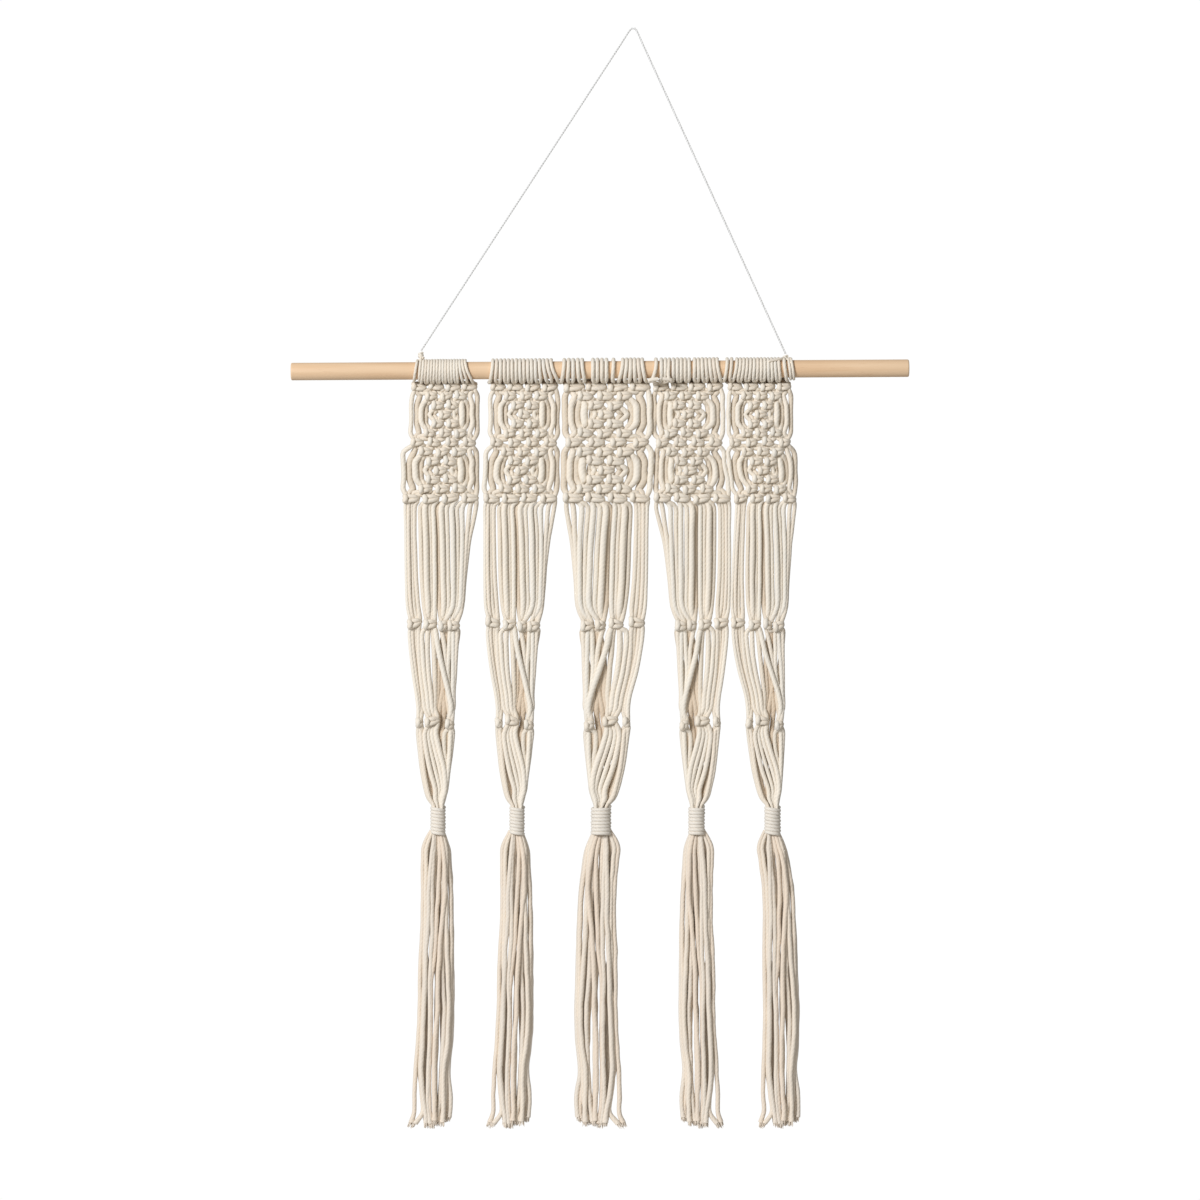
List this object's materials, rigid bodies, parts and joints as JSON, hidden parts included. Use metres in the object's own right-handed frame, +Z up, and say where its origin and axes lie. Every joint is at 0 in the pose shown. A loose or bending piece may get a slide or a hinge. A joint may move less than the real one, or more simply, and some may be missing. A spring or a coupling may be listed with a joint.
{
  "type": "macrame wall hanging on a wooden dowel",
  "caption": "Macrame wall hanging: five narrow panels of square knots folded over a wooden dowel, each gathered under a wound neck into a long tassel, with a twine hanger.",
  "frame": {"origin": "top of the nail that the hanger twine goes over, under the twine at its peak", "axes": "+Z up; -Y is the front that faces the room, +Y points to the wall; the dowel runs along X"},
  "size_m": [0.5, 0.0308, 0.8905],
  "materials": {
    "cotton_cord": "matte natural cotton cord",
    "hanging_twine": "matte twisted twine",
    "dowel_wood": "plain unvarnished wood"
  },
  "bodies": {
    "root": {"dowel": "dowel_wood", "panel_1": "cotton_cord", "panel_2": "cotton_cord", "panel_3": "cotton_cord", "panel_4": "cotton_cord", "panel_5": "cotton_cord", "neck_wrap_1": "cotton_cord", "neck_wrap_2": "cotton_cord", "neck_wrap_3": "cotton_cord", "neck_wrap_4": "cotton_cord", "neck_wrap_5": "cotton_cord", "tassel_1": "cotton_cord", "tassel_2": "cotton_cord", "tassel_3": "cotton_cord", "tassel_4": "cotton_cord", "tassel_5": "cotton_cord", "hanger": "hanging_twine", "tie_left": "hanging_twine", "tie_right": "hanging_twine"}
  },
  "joints": []
}
